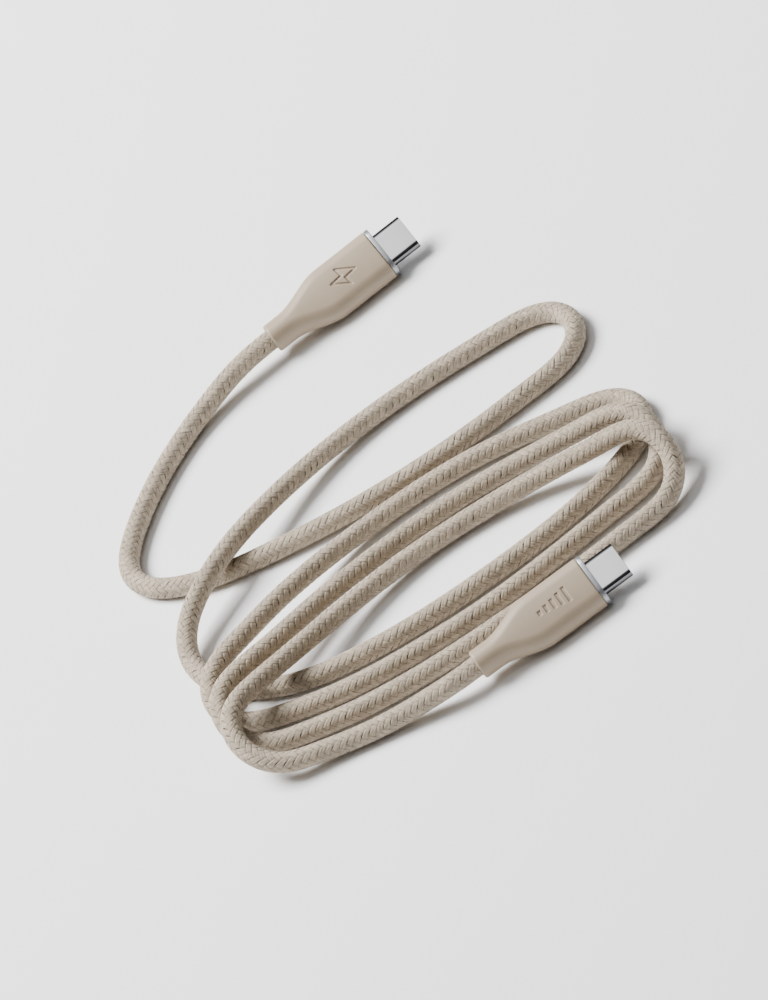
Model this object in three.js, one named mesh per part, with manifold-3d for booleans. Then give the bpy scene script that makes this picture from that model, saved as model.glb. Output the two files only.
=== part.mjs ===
// Braided charging cable with two identical reversible plugs, lying in a loose oval of four and a
// half turns on a flat surface. Millimetres, +Z up, surface at z = 0, plugs pointing along +X.
import * as THREE from 'three';
import { mergeVertices } from 'three/addons/utils/BufferGeometryUtils.js';
import Module from 'manifold-3d';

const wasm = await Module();
wasm.setup();

// ---------- driving dimensions ----------
const CORD_DIAMETER = 4.4;
const SLEEVE_WALL = 0.35;
const JACKET_DIAMETER = 3.5;
const JACKET_BORE = 2.6;
const POWER_WIRE_DIAMETER = 0.8;
const DATA_WIRE_DIAMETER = 0.5;
const CORD_SIDES = 8;
const WIRE_SIDES = 5;
const CORD_STEPS = 84;

const SHELL_WIDTH = 8.25; // outside of the metal shell of this kind of plug
const SHELL_HEIGHT = 2.4;
const SHELL_WALL = 0.2;
const SHELL_REACH = 6.65; // how far the shell stands out of the collar

const BOOT_LENGTH = 28.5;
const BOOT_WIDTH = 12;
const BOOT_THICKNESS = 6.2;
const BOOT_CORNER = 2.8;
const TAIL_DIAMETER = 6.4;
const TAIL_LENGTH = 4;
const TAPER_END = 15.6;
const COLLAR_THICKNESS = 0.9;
const GAP = 0.1; // between touching pieces

const ORIGIN_SHIFT = { x: 3.97, y: 5.855 }; // brings the middle of the outline to the origin
const PLUG_ROLL = 32; // degrees: both plugs lean on one long edge
const PLUG_HEIGHT = 4.75; // axis above the surface when the boot's edge rests on it
const PLUGS = {
  a: { tail: [-2.5, 59.0], heading: 2 },
  b: { tail: [-9.0, -71.2], heading: -1 },
};

const COLOURS = {
  braid: '#bdb0a1',
  boot: '#b5a697',
  collar: '#a9abad',
  steel: '#c9ccd0',
  dark: '#202124',
  gold: '#c8a24c',
  card: '#1f5136',
  mould: '#e4e0d8',
  jacket: '#8f867b',
};

// ---------- derived dimensions ----------
const CORD_RADIUS = CORD_DIAMETER / 2;
const ON_FLOOR = CORD_RADIUS;
const COLLAR_BACK = BOOT_LENGTH + GAP;
const COLLAR_FRONT = COLLAR_BACK + COLLAR_THICKNESS;
const SHELL_FRONT = COLLAR_FRONT + SHELL_REACH;
const SHELL_BACK = 20.6;
const SHELL_BORE_WIDTH = SHELL_WIDTH - 2 * SHELL_WALL;
const SHELL_BORE_HEIGHT = SHELL_HEIGHT - 2 * SHELL_WALL;
const CORD_END = 12; // the cord's layers end this far inside the boot
const FERRULE_START = 7.8;
const HOUSING_BACK = 24;
const HOUSING_FRONT = 28.8;
const CARD_BACK = 13.2;

// ---------- small helpers ----------
const radians = THREE.MathUtils.degToRad;

function material(colour, roughness, metalness = 0) {
  return new THREE.MeshStandardMaterial({ color: colour, roughness, metalness });
}

const MATERIALS = {
  braid: material(COLOURS.braid, 0.9),
  boot: material(COLOURS.boot, 0.6),
  collar: material(COLOURS.collar, 0.35, 1),
  steel: material(COLOURS.steel, 0.2, 1),
  dark: material(COLOURS.dark, 0.6),
  gold: material(COLOURS.gold, 0.3, 1),
  card: material(COLOURS.card, 0.5),
  mould: material(COLOURS.mould, 0.6),
  jacket: material(COLOURS.jacket, 0.7),
};

function named(name, geometry, look) {
  const mesh = new THREE.Mesh(geometry, look);
  mesh.name = name;
  return mesh;
}

function toSolid(geometry) {
  const bare = geometry.clone();
  bare.deleteAttribute('normal');
  bare.deleteAttribute('uv');
  const merged = mergeVertices(bare, 1e-4);
  return new wasm.Manifold(new wasm.Mesh({
    numProp: 3,
    vertProperties: Float32Array.from(merged.attributes.position.array),
    triVerts: Uint32Array.from(merged.index.array),
  }));
}

function fromSolid(solid) {
  const mesh = solid.getMesh();
  const geometry = new THREE.BufferGeometry();
  geometry.setAttribute('position', new THREE.BufferAttribute(mesh.vertProperties, 3));
  geometry.setIndex(new THREE.BufferAttribute(mesh.triVerts, 1));
  geometry.computeVertexNormals();
  return geometry;
}

function cut(geometry, ...tools) {
  let solid = toSolid(geometry);
  for (const tool of tools) solid = solid.subtract(toSolid(tool));
  return fromSolid(solid);
}

// Box between two X stations, width along Y, from zLow to zHigh.
function block(xBack, xFront, width, zLow, zHigh) {
  const box = new THREE.BoxGeometry(xFront - xBack, width, zHigh - zLow);
  return box.translate((xBack + xFront) / 2, 0, (zLow + zHigh) / 2);
}

// Outline with rounded corners, in the plane across the plug: x is its width, y its thickness.
function roundedOutline(PathClass, width, height, corner, cornerPoints = 6) {
  const outline = new PathClass();
  const x = width / 2 - corner;
  const y = height / 2 - corner;
  const corners = [[x, y], [-x, y], [-x, -y], [x, -y]];
  const points = [];
  corners.forEach(([cx, cy], quarter) => {
    for (let i = 0; i <= cornerPoints; i += 1) {
      const angle = (quarter + i / cornerPoints) * Math.PI / 2;
      points.push(new THREE.Vector2(cx + corner * Math.cos(angle), cy + corner * Math.sin(angle)));
    }
  });
  outline.setFromPoints(points);
  return outline;
}

// Extrusion of an outline along the plug's axis, between two X stations.
function along(shape, xBack, xFront) {
  const geometry = new THREE.ExtrudeGeometry(shape, { depth: xFront - xBack, bevelEnabled: false });
  const turn = new THREE.Matrix4().makeBasis(
    new THREE.Vector3(0, 1, 0),
    new THREE.Vector3(0, 0, 1),
    new THREE.Vector3(1, 0, 0),
  );
  return geometry.applyMatrix4(turn).translate(xBack, 0, 0);
}

function ringShape(outer, hole) {
  outer.holes.push(hole);
  return outer;
}

function cylinderAlong(radius, xBack, xFront, sides = 24) {
  const rod = new THREE.CylinderGeometry(radius, radius, xFront - xBack, sides);
  return rod.rotateZ(-Math.PI / 2).translate((xBack + xFront) / 2, 0, 0);
}

// ---------- cord ----------
// Uniform cubic B-spline: smooth in position, slope and curvature. Its sections crowd into the
// bends, where the cord turns fastest, and into both ends, which run through the boots' bores.
class CordRoute extends THREE.Curve {
  constructor(points) {
    super();
    this.points = points;
    this.spans = points.length - 3;
    this.samples = this.measure(40 * this.spans);
  }

  getPoint(t, target = new THREE.Vector3()) {
    const place = Math.min(Math.max(t, 0), 1) * this.spans;
    const span = Math.min(Math.floor(place), this.spans - 1);
    const f = place - span;
    const weights = [
      (1 - f) ** 3,
      3 * f ** 3 - 6 * f ** 2 + 4,
      -3 * f ** 3 + 3 * f ** 2 + 3 * f + 1,
      f ** 3,
    ];
    target.set(0, 0, 0);
    weights.forEach((weight, i) => target.addScaledVector(this.points[span + i], weight / 6));
    return target;
  }

  // Running cost of length and turning, one entry for each sample.
  measure(count) {
    const lengthPerStep = 33;
    const lengthPerEndStep = 8;
    const turnPerStep = radians(38);
    const endShare = 2.5 / this.spans;
    const samples = [0];
    let before = this.getPoint(0);
    let heading = null;
    for (let i = 1; i <= count; i += 1) {
      const here = this.getPoint(i / count);
      const move = here.clone().sub(before);
      const turn = heading ? move.angleTo(heading) : 0;
      const nearEnd = Math.min(i, count - i) / count < endShare;
      const stride = nearEnd ? lengthPerEndStep : lengthPerStep;
      samples.push(samples[i - 1] + move.length() / stride + turn / turnPerStep);
      heading = move;
      before = here;
    }
    return samples;
  }

  getUtoTmapping(u) {
    const last = this.samples.length - 1;
    const wanted = u * this.samples[last];
    let high = 1;
    while (high < last && this.samples[high] < wanted) high += 1;
    const low = high - 1;
    const part = (wanted - this.samples[low]) / (this.samples[high] - this.samples[low]);
    return (low + Math.min(Math.max(part, 0), 1)) / last;
  }
}

// Points of a round bend: centre, radius, then [angle in degrees, height] pairs. The points stand
// a little outside the circle, because the spline runs inside its points.
function bend(x, y, radius, stops) {
  return stops.map(([angle, height], i) => {
    const before = stops[Math.max(i - 1, 0)][0];
    const after = stops[Math.min(i + 1, stops.length - 1)][0];
    const spans = i > 0 && i < stops.length - 1 ? 2 : 1;
    const step = radians(Math.abs(after - before) / spans);
    const reach = radius * 3 / (2 + Math.cos(step));
    return [x + reach * Math.cos(radians(angle)), y + reach * Math.sin(radians(angle)), height];
  });
}

// Straight stretch on a plug's axis, at the given distances ahead of the boot's tail.
function insidePlug(plug, distances) {
  const [x, y] = plug.tail;
  const angle = radians(plug.heading);
  return distances.map((d) => [x + d * Math.cos(angle), y + d * Math.sin(angle), PLUG_HEIGHT]);
}

function cordPoints() {
  const floor = ON_FLOOR;
  return [
    ...insidePlug(PLUGS.a, [18, CORD_END, 6, 0, -6]),
    [-15, 58.2, 3.9], [-22, 56.5, 2.8], [-29, 53.7, floor], [-36.5, 49, floor],
    [-43.5, 43.3, floor], [-49.5, 37, floor], [-53.7, 31, floor], [-55, 25, floor],
    [-53.2, 19, floor], [-48.8, 14, floor], [-43, 10, floor], [-35.5, 6.3, floor],
    [-22.5, 2, floor], [-10, -1.4, floor], [4.5, -3.8, floor], [19.5, -4.9, floor],
    [31, -4.6, floor],
    ...bend(38.7, 5.7, 10.1, [[-75, floor], [-38, floor], [0, floor], [38, floor], [74, floor]]),
    [33, 17.4, floor], [17, 20, floor], [0.5, 20.5, 2.5], [-14.5, 17.5, 4], [-27, 12.3, 6],
    [-36, 7.8, 7], [-43, 3.7, 6.9], [-49.2, -0.3, 5.8], [-53.4, -4.6, 4.2], [-55.3, -10, 2.8],
    [-55, -15.8, floor], [-53, -21.7, floor], [-49.6, -27.4, floor], [-45, -32.8, floor],
    [-38.8, -37.5, floor], [-29, -41.5, floor], [-13, -45.3, floor], [7, -46.8, floor],
    [23, -46.6, floor], [33, -44.8, floor],
    ...bend(38.2, -31.5, 10.5, [[-70, floor], [-35, floor], [0, floor], [35, floor], [68, floor]]),
    [33, -18, floor], [22, -13.3, floor], [8, -9.8, floor], [-7, -8.6, floor],
    [-21.5, -10.7, 3.9], [-33.5, -14.7, 5.9], [-42.5, -18.7, 6.9],
    ...bend(-46.4, -30.4, 9.9, [[115, 7.1], [147, 6.4], [179, 4.8], [211, 3.2], [243, 2.4]]),
    [-44.5, -43, floor], [-36.5, -47, floor], [-26, -50.5, floor], [-9, -53.6, floor],
    [3, -54.8, floor], [19, -54.6, floor], [31, -53.5, floor],
    ...bend(37.8, -43.3, 10.4, [[-72, 2.4], [-38, 3.2], [-5, 5], [28, 7.1], [60, 7.3]]),
    [37.5, -30.3, 5.4], [29, -25.6, 3.6], [17, -21, 2.4], [2, -18.5, floor],
    [-15, -19.6, 3.3], [-29.5, -23.2, 5.4], [-40.5, -27.6, 7.2],
    ...bend(-46.2, -39.7, 10.5, [[112, 8.6], [144, 8.7], [176, 7.1], [208, 4.8], [241, 3.1]]),
    [-44, -52, 2.4], [-34, -56, floor], [-22, -59, floor], [-9, -61, floor], [5, -62, floor],
    [20.5, -63, floor], [32, -62.6, floor],
    ...bend(37.6, -52.7, 10.5, [[-72, 2.5], [-39, 3.8], [-6, 6.3], [26, 8.9], [58, 9.1]]),
    [37.5, -39.8, 7], [29.5, -34.8, 4.9], [18.5, -29.8, 3], [3.5, -26.3, floor],
    [-12.5, -26.2, 3], [-28.5, -30.3, 5.2], [-40.5, -35.3, 8.1],
    ...bend(-46.4, -48.8, 10.5, [[112, 10.1], [144, 10.6], [176, 9], [208, 6.4], [240, 4]]),
    [-44.5, -60.3, 2.8], [-35.5, -63.8, floor], [-26.5, -67, 2.8], [-20, -69.3, 3.9],
    ...insidePlug(PLUGS.b, [-6, 0, 6, CORD_END, 18]),
  ];
}

function polygon(PathClass, radius, sides, x = 0, y = 0) {
  const points = [];
  for (let i = 0; i < sides; i += 1) {
    const angle = (i / sides) * 2 * Math.PI;
    points.push(new THREE.Vector2(x + radius * Math.cos(angle), y + radius * Math.sin(angle)));
  }
  return new PathClass(points);
}

function makeCord() {
  const cord = new THREE.Group();
  const route = new CordRoute(cordPoints().map((point) => new THREE.Vector3(...point)));
  const options = { steps: CORD_STEPS, bevelEnabled: false, extrudePath: route };
  const addLayer = (name, shape, look) => {
    cord.add(named(name, new THREE.ExtrudeGeometry(shape, options), look));
  };

  const sleeveBore = CORD_RADIUS - SLEEVE_WALL;
  addLayer('braid_sleeve', ringShape(
    polygon(THREE.Shape, CORD_RADIUS, CORD_SIDES),
    polygon(THREE.Path, sleeveBore, CORD_SIDES),
  ), MATERIALS.braid);
  addLayer('inner_jacket', ringShape(
    polygon(THREE.Shape, JACKET_DIAMETER / 2, CORD_SIDES),
    polygon(THREE.Path, JACKET_BORE / 2, CORD_SIDES),
  ), MATERIALS.jacket);

  const wires = [
    ['wire_power', POWER_WIRE_DIAMETER, 0.68, 0],
    ['wire_ground', POWER_WIRE_DIAMETER, -0.68, 0],
    ['wire_sense', DATA_WIRE_DIAMETER, 0, 0],
    ['wire_data_plus', DATA_WIRE_DIAMETER, 0, 0.75],
    ['wire_data_minus', DATA_WIRE_DIAMETER, 0, -0.75],
  ];
  for (const [name, diameter, x, y] of wires) {
    addLayer(name, polygon(THREE.Shape, diameter / 2, WIRE_SIDES, x, y), MATERIALS.gold);
  }
  return cord;
}

// ---------- plug pieces, in the plug's own frame ----------
// X runs forward from the boot's tail, Y across the width, Z across the thickness.

const BOOT_QUARTER_POINTS = 5;
const BOOT_SIDES = 4 * (BOOT_QUARTER_POINTS + 1);

// Half sizes of the boot's section at a distance from its tail.
function bootSection(x) {
  const travel = THREE.MathUtils.clamp((x - TAIL_LENGTH) / (TAPER_END - TAIL_LENGTH), 0, 1);
  const flare = travel * travel * (3 - 2 * travel);
  return {
    halfWidth: THREE.MathUtils.lerp(TAIL_DIAMETER / 2 + 0.05, BOOT_WIDTH / 2, flare),
    halfThickness: THREE.MathUtils.lerp(TAIL_DIAMETER / 2, BOOT_THICKNESS / 2, flare),
    corner: THREE.MathUtils.lerp(TAIL_DIAMETER / 2 - 0.1, BOOT_CORNER, flare),
  };
}

function bootPoint(section, inset, side) {
  const quarter = Math.floor(side / (BOOT_QUARTER_POINTS + 1));
  const stepInQuarter = side % (BOOT_QUARTER_POINTS + 1);
  const angle = (quarter + stepInQuarter / BOOT_QUARTER_POINTS) * Math.PI / 2;
  const signY = quarter === 0 || quarter === 3 ? 1 : -1;
  const signZ = quarter < 2 ? 1 : -1;
  const radius = section.corner - inset;
  return [
    signY * (section.halfWidth - section.corner) + radius * Math.cos(angle),
    signZ * (section.halfThickness - section.corner) + radius * Math.sin(angle),
  ];
}

// A lathe body whose rings are reshaped from circles into the boot's rounded sections.
function bootBody() {
  const rings = [[0, 0.45], [0.12, 0.15], [0.4, 0]];
  for (let x = TAIL_LENGTH; x < TAPER_END; x += 1.45) rings.push([x, 0]);
  rings.push([TAPER_END, 0], [BOOT_LENGTH - 0.3, 0], [BOOT_LENGTH, 0.25]);

  const profile = [new THREE.Vector2(0, 0)];
  rings.forEach(([x]) => profile.push(new THREE.Vector2(1, x)));
  profile.push(new THREE.Vector2(0, BOOT_LENGTH));

  const body = new THREE.LatheGeometry(profile, BOOT_SIDES);
  const place = body.attributes.position;
  for (let side = 0; side <= BOOT_SIDES; side += 1) {
    for (let j = 0; j < profile.length; j += 1) {
      const x = profile[j].y;
      const onAxis = profile[j].x === 0;
      const inset = onAxis ? 0 : rings[j - 1][1];
      const [y, z] = onAxis ? [0, 0] : bootPoint(bootSection(x), inset, side % BOOT_SIDES);
      place.setXYZ(side * profile.length + j, x, y, z);
    }
  }
  return body;
}

function makeBoot() {
  const past = 1;
  const cordBore = cylinderAlong(CORD_RADIUS + 0.15, -past, FERRULE_START + past);
  const ferruleBore = cylinderAlong(2.8, FERRULE_START - GAP, CORD_END + past);
  const canRoom = along(roundedOutline(THREE.Shape, 8.3, 4.2, 0.1, 1), 12.3, 17);
  const mouldRoom = along(roundedOutline(THREE.Shape, 10.6, 5.0, 1.6, 3), 16, BOOT_LENGTH + past);
  return cut(bootBody(), cordBore, ferruleBore, canRoom, mouldRoom);
}

function makeCollar() {
  const inset = 0.12;
  const outline = roundedOutline(
    THREE.Shape,
    BOOT_WIDTH - 2 * inset,
    BOOT_THICKNESS - 2 * inset,
    BOOT_CORNER - inset,
  );
  const hole = roundedOutline(THREE.Path, SHELL_WIDTH + 0.2, SHELL_HEIGHT + 0.2, 1.3, 5);
  return along(ringShape(outline, hole), COLLAR_BACK, COLLAR_FRONT);
}

function makeShell() {
  const outline = roundedOutline(THREE.Shape, SHELL_WIDTH, SHELL_HEIGHT, SHELL_HEIGHT / 2);
  const bore = roundedOutline(
    THREE.Path,
    SHELL_BORE_WIDTH,
    SHELL_BORE_HEIGHT,
    SHELL_BORE_HEIGHT / 2,
  );
  return along(ringShape(outline, bore), SHELL_BACK, SHELL_FRONT);
}

const INSERT = { width: 7.6, height: 1.6, slotWidth: 6.9, slotHeight: 0.96, setBack: 0.25 };

function makeInsert() {
  const outline = roundedOutline(THREE.Shape, INSERT.width, INSERT.height, 0.75, 4);
  const slot = roundedOutline(THREE.Path, INSERT.slotWidth, INSERT.slotHeight, 0.3, 2);
  return along(ringShape(outline, slot), HOUSING_FRONT + GAP, SHELL_FRONT - INSERT.setBack);
}

const CONTACT = { count: 12, pitch: 0.5, width: 0.26, thickness: 0.12, length: 5.4 };

// Row of contact fingers on one carrier strip, as a comb seen from above.
function makeContacts(side) {
  const rear = HOUSING_FRONT + GAP + 0.1;
  const strip = rear + 0.5;
  const halfRow = (CONTACT.count * CONTACT.pitch) / 2;
  const comb = new THREE.Shape();
  comb.moveTo(rear, -halfRow);
  for (let i = 0; i < CONTACT.count; i += 1) {
    const centre = (i - (CONTACT.count - 1) / 2) * CONTACT.pitch;
    comb.lineTo(strip, centre - CONTACT.width / 2);
    comb.lineTo(strip + CONTACT.length, centre - CONTACT.width / 2);
    comb.lineTo(strip + CONTACT.length, centre + CONTACT.width / 2);
    comb.lineTo(strip, centre + CONTACT.width / 2);
  }
  comb.lineTo(rear, halfRow);
  comb.closePath();
  const fingers = new THREE.ExtrudeGeometry(comb, { depth: CONTACT.thickness, bevelEnabled: false });
  const clearOfSlot = 0.05;
  const outer = INSERT.slotHeight / 2 - clearOfSlot;
  return fingers.translate(0, 0, side > 0 ? outer - CONTACT.thickness : -outer);
}

function makeHousing(side) {
  const shape = roundedOutline(THREE.Shape, 7.2, 0.6, 0.15, 1);
  return along(shape, HOUSING_BACK, HOUSING_FRONT).translate(0, 0, side * 0.5);
}

// Flat U of spring steel between the contact rows, with a hook arm along each side of the slot.
function makeLatchPlate() {
  const back = HOUSING_BACK + 0.2;
  const bridge = HOUSING_FRONT;
  const tip = bridge + 4.2;
  const outer = 3.35;
  const inner = 3.12;
  const plate = new THREE.Shape();
  plate.moveTo(back, -outer);
  plate.lineTo(tip, -outer);
  plate.lineTo(tip, -inner);
  plate.lineTo(bridge, -inner);
  plate.lineTo(bridge, inner);
  plate.lineTo(tip, inner);
  plate.lineTo(tip, outer);
  plate.lineTo(back, outer);
  plate.closePath();
  const thickness = 0.2;
  const body = new THREE.ExtrudeGeometry(plate, { depth: thickness, bevelEnabled: false });
  return body.translate(0, 0, -thickness / 2);
}

function makeSpring(side) {
  const near = INSERT.height / 2 + 0.04;
  const far = SHELL_BORE_HEIGHT / 2 - 0.04;
  const low = side > 0 ? near : -far;
  const high = side > 0 ? far : -near;
  return block(32.2, 34.2, 5.4, low, high);
}

function makePaddleCard() {
  return block(CARD_BACK, HOUSING_BACK - GAP, 6.8, -0.3, 0.3);
}

// Half of the drawn-steel can around the paddle card: a channel open at both ends.
function makeShieldCan(side) {
  const halfWidth = 4;
  const wall = 0.2;
  const top = 1.95;
  const mid = 0.1;
  const channel = new THREE.Shape([
    new THREE.Vector2(-halfWidth, mid),
    new THREE.Vector2(-halfWidth + wall, mid),
    new THREE.Vector2(-halfWidth + wall, top - wall),
    new THREE.Vector2(halfWidth - wall, top - wall),
    new THREE.Vector2(halfWidth - wall, mid),
    new THREE.Vector2(halfWidth, mid),
    new THREE.Vector2(halfWidth, top),
    new THREE.Vector2(-halfWidth, top),
  ]);
  const can = along(channel, CORD_END + 0.5, SHELL_BACK - GAP);
  return side > 0 ? can : can.rotateX(Math.PI);
}

function makeFerrule() {
  const ring = ringShape(
    polygon(THREE.Shape, 2.65, 20),
    polygon(THREE.Path, CORD_RADIUS + 0.12, 20),
  );
  return along(ring, FERRULE_START, CORD_END);
}

function makeInnerMould() {
  const outline = roundedOutline(THREE.Shape, 10.4, 4.8, 1.5, 3);
  const hole = roundedOutline(THREE.Path, 8.5, 4.1, 0.3, 1);
  return along(ringShape(outline, hole), 16.2, BOOT_LENGTH - 0.4);
}

function makePlug(letter) {
  const plug = new THREE.Group();
  const add = (piece, geometry, look) => plug.add(named(`plug_${letter}_${piece}`, geometry, look));
  add('boot', makeBoot(), MATERIALS.boot);
  add('collar', makeCollar(), MATERIALS.collar);
  add('shell', makeShell(), MATERIALS.steel);
  add('insert', makeInsert(), MATERIALS.dark);
  add('latch_plate', makeLatchPlate(), MATERIALS.steel);
  add('paddle_card', makePaddleCard(), MATERIALS.card);
  add('crimp_ferrule', makeFerrule(), MATERIALS.steel);
  add('inner_mould', makeInnerMould(), MATERIALS.mould);
  for (const [word, side] of [['upper', 1], ['lower', -1]]) {
    add(`contacts_${word}`, makeContacts(side), MATERIALS.gold);
    add(`housing_${word}`, makeHousing(side), MATERIALS.dark);
    add(`ground_spring_${word}`, makeSpring(side), MATERIALS.steel);
    add(`shield_can_${word}`, makeShieldCan(side), MATERIALS.steel);
  }
  const { tail, heading } = PLUGS[letter];
  plug.rotation.set(radians(PLUG_ROLL), 0, radians(heading), 'ZYX');
  plug.position.set(tail[0], tail[1], PLUG_HEIGHT);
  return plug;
}

// ---------- the whole cable ----------
const cable = new THREE.Group();
const laid = new THREE.Group();
laid.position.set(ORIGIN_SHIFT.x, ORIGIN_SHIFT.y, 0);
laid.add(makeCord(), makePlug('a'), makePlug('b'));
cable.add(laid);
cable.updateMatrixWorld(true);

export default cable;
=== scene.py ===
# Braided charging cable on a pale floor: every visible piece, its material, the light and camera.
import math

import bpy
import numpy as np
from mathutils import Matrix, Vector


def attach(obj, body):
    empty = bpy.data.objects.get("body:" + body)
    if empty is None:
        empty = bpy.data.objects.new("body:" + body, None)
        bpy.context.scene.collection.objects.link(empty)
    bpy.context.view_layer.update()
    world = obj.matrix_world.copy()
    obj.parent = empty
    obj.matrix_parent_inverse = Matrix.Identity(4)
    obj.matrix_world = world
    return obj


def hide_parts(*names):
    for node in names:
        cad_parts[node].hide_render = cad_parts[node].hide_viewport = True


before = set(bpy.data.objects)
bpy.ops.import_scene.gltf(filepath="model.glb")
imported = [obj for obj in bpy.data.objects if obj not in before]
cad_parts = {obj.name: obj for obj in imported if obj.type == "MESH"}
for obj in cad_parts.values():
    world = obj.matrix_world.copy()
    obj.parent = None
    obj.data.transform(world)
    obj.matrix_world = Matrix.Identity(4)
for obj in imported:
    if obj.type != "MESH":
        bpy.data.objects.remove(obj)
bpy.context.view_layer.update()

MM = 0.001

# ---------- the cable's layout, in millimetres, as the CAD model lays it ----------
ORIGIN_SHIFT = np.array([3.97, 5.855, 0.0])  # from the layout's origin to the row frame's
CORD_DIAMETER = 4.4
PLUG_ROLL = 32.0  # degrees about the plug's own axis
PLUG_HEIGHT = 4.75
PLUGS = {
    "a": {"tail": (-2.5, 59.0), "heading": 2.0},
    "b": {"tail": (-9.0, -71.2), "heading": -1.0},
}
CORD_END = 12.0  # how far the cord runs on inside a boot

# a plug's sizes; every X is a distance ahead of the boot's tail
BOOT_LENGTH = 28.5
BOOT_WIDTH = 12.0
BOOT_THICKNESS = 6.2
BOOT_CORNER = 2.8
TAIL_DIAMETER = 6.4
TAIL_LENGTH = 4.0
TAPER_END = 15.6
COLLAR_BACK = 28.6
COLLAR_FRONT = 29.5
SHELL_WIDTH = 8.25
SHELL_HEIGHT = 2.4
SHELL_WALL = 0.2
SHELL_BACK = 20.6
SHELL_FRONT = COLLAR_FRONT + 6.65

COLLAR_INSET = 0.03  # how far the collar stands in from the boot's outline
COLLAR_PLAY = 0.1  # between the collar's hole and the shell
COLLAR_LAP = 0.04  # how far the collar's back is set towards the boot
COLLAR_HOLE_CORNER = 1.29
COLLAR_SOFTEN = 0.08
SHELL_SOFTEN = 0.09
SHELL_FLAT = 0.001  # left between the round corners, so that the sides aren't a full half circle
# how far the shells' painted dark reflection fades in from the flats
PAINTED_REFLECTION_FADE = 0.35

# ---------- camera ----------
CAMERA_ELEVATION = math.radians(37)
CAMERA_TURN = math.radians(37)  # how far the loops' long axis is turned from level in the picture
CAMERA_DISTANCE = 4.0
VIEW_HEIGHT = 0.2041
VIEW_CENTRE = Vector((0.00005, 0.00397, 0.0))


def make_camera():
    """A long lens, level with the photograph's view: the floor's X axis climbs to the right."""
    elevation, turn = CAMERA_ELEVATION, CAMERA_TURN
    right = Vector((math.cos(turn), -math.sin(elevation) * math.sin(turn),
                    -math.cos(elevation) * math.sin(turn)))
    up = Vector((math.sin(turn), math.sin(elevation) * math.cos(turn),
                 math.cos(elevation) * math.cos(turn)))
    back = right.cross(up)
    data = bpy.data.cameras.new("camera")
    data.sensor_width = 36
    data.lens = data.sensor_width * CAMERA_DISTANCE / VIEW_HEIGHT
    data.clip_end = 20
    camera = bpy.data.objects.new("camera", data)
    axes = Matrix((right, up, back)).transposed().to_4x4()
    camera.matrix_world = Matrix.Translation(VIEW_CENTRE + back * CAMERA_DISTANCE) @ axes
    bpy.context.collection.objects.link(camera)
    bpy.context.scene.camera = camera


# ---------- small helpers ----------
def new_object(name, verts, faces, material, smooth=True):
    """A mesh object from arrays of points in metres and of faces."""
    mesh = bpy.data.meshes.new(name)
    mesh.from_pydata(np.asarray(verts).tolist(), [], [list(map(int, f)) for f in faces])
    mesh.validate()
    piece = bpy.data.objects.new(name, mesh)
    bpy.context.collection.objects.link(piece)
    mesh.materials.append(material)
    mesh.polygons.foreach_set("use_smooth", [smooth] * len(mesh.polygons))
    return piece


def grid_faces(rows, columns, wrap):
    """Quads of a grid of points; with wrap, the last column joins the first."""
    row, column = np.meshgrid(np.arange(rows - 1), np.arange(columns - (not wrap)), indexing="ij")
    after = (column + 1) % columns
    corners = [row * columns + column, row * columns + after,
               (row + 1) * columns + after, (row + 1) * columns + column]
    return np.stack(corners, axis=-1).reshape(-1, 4)


def smoothstep(value):
    value = np.clip(value, 0, 1)
    return value * value * (3 - 2 * value)


def plug_matrix(letter):
    """From a plug's own frame, in millimetres, to the row frame, in metres."""
    plug = PLUGS[letter]
    place = (np.array([*plug["tail"], PLUG_HEIGHT]) + ORIGIN_SHIFT) * MM
    turn = Matrix.Rotation(math.radians(plug["heading"]), 4, "Z")
    roll = Matrix.Rotation(math.radians(PLUG_ROLL), 4, "X")
    return Matrix.Translation(place) @ turn @ roll @ Matrix.Scale(MM, 4)


def in_row_frame(points, letter):
    """Points of a plug in its own frame, moved to the row frame."""
    matrix = np.array(plug_matrix(letter))
    return np.asarray(points) @ matrix[:3, :3].T + matrix[:3, 3]


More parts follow.
